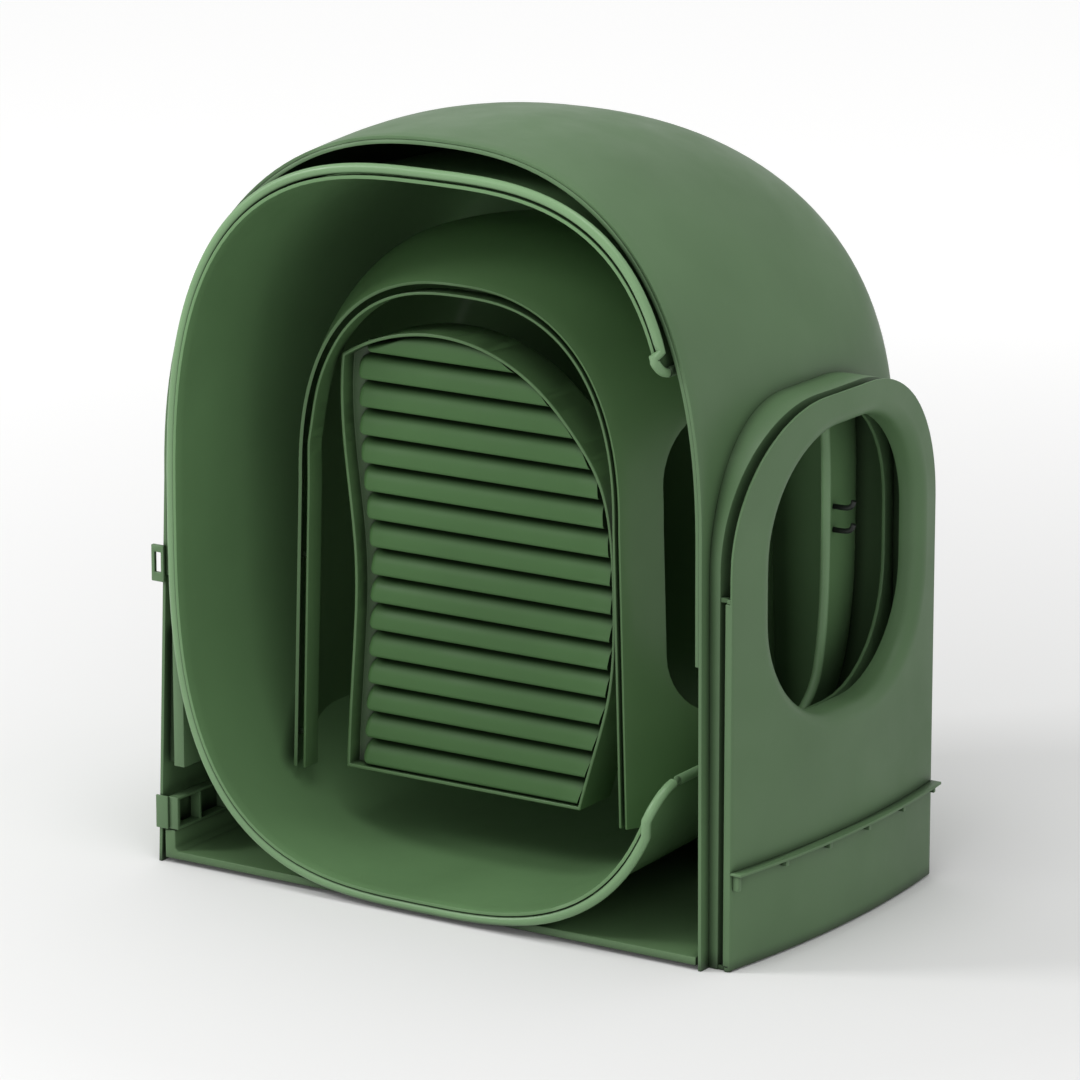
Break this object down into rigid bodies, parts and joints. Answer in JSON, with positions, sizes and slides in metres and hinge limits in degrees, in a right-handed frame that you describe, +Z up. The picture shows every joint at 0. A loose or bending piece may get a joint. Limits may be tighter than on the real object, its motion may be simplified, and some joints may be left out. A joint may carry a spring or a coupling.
{
  "type": "calf hutch",
  "caption": "Moulded calf hutch as a nested kit: domed outer hood on a floor tray with a hinged side feed panel, holding a rear hood, an inner hood and a slatted floor panel.",
  "frame": {"origin": "middle of the whole footprint, on the ground", "axes": "+Z up, +Y into the hutch from its open face, +X towards the feed panel"},
  "size_m": [1.2475, 0.74, 1.3834],
  "materials": {
    "hood_plastic": "satin moulded polyethylene, green",
    "panel_plastic": "satin moulded polyethylene, green",
    "tray_plastic": "satin moulded polyethylene, green",
    "bracket_plastic": "satin moulded plastic, green",
    "nested_plastic": "satin moulded polyethylene, green",
    "slat_plastic": "satin moulded polyethylene, green",
    "steel": "zinc-plated steel",
    "black_steel": "black-coated steel wire"
  },
  "bodies": {
    "root": {"outer_hood": "hood_plastic", "hood_front_lip": "hood_plastic", "side_frame": "hood_plastic", "hinge_pin": "steel", "hinge_lugs": "hood_plastic", "base_tray": "tray_plastic", "left_jamb": "hood_plastic", "lower_fence_bracket": "bracket_plastic", "bracket_front_plate": "bracket_plastic", "upper_fence_loop": "bracket_plastic"},
    "panel": {"feed_panel": "panel_plastic", "window_rim": "panel_plastic", "panel_ledge": "panel_plastic", "ledge_gussets": "panel_plastic"},
    "rear_shell": {"rear_hood": "nested_plastic", "bucket_hooks": "black_steel"},
    "inner_shell": {"inner_hood": "nested_plastic", "mouth_liner": "nested_plastic", "liner_spacers": "nested_plastic"},
    "floor_panel": {"slatted_tray": "slat_plastic", "slats": "slat_plastic"}
  },
  "joints": [
    {"name": "panel_hinge", "type": "hinge", "parent": "root", "child": "panel", "pos_m": [0.5615, -0.318, 0.3], "axis": [0, 0, -1], "range_deg": [0, 110]},
    {"name": "rear_shell_slide", "type": "slide", "parent": "root", "child": "rear_shell", "axis": [0, -1, 0], "range_m": [0, 0.8]},
    {"name": "inner_shell_slide", "type": "slide", "parent": "rear_shell", "child": "inner_shell", "axis": [0, -1, 0], "range_m": [0, 0.7]},
    {"name": "floor_panel_slide", "type": "slide", "parent": "inner_shell", "child": "floor_panel", "axis": [0, -1, 0], "range_m": [0, 0.35]}
  ]
}
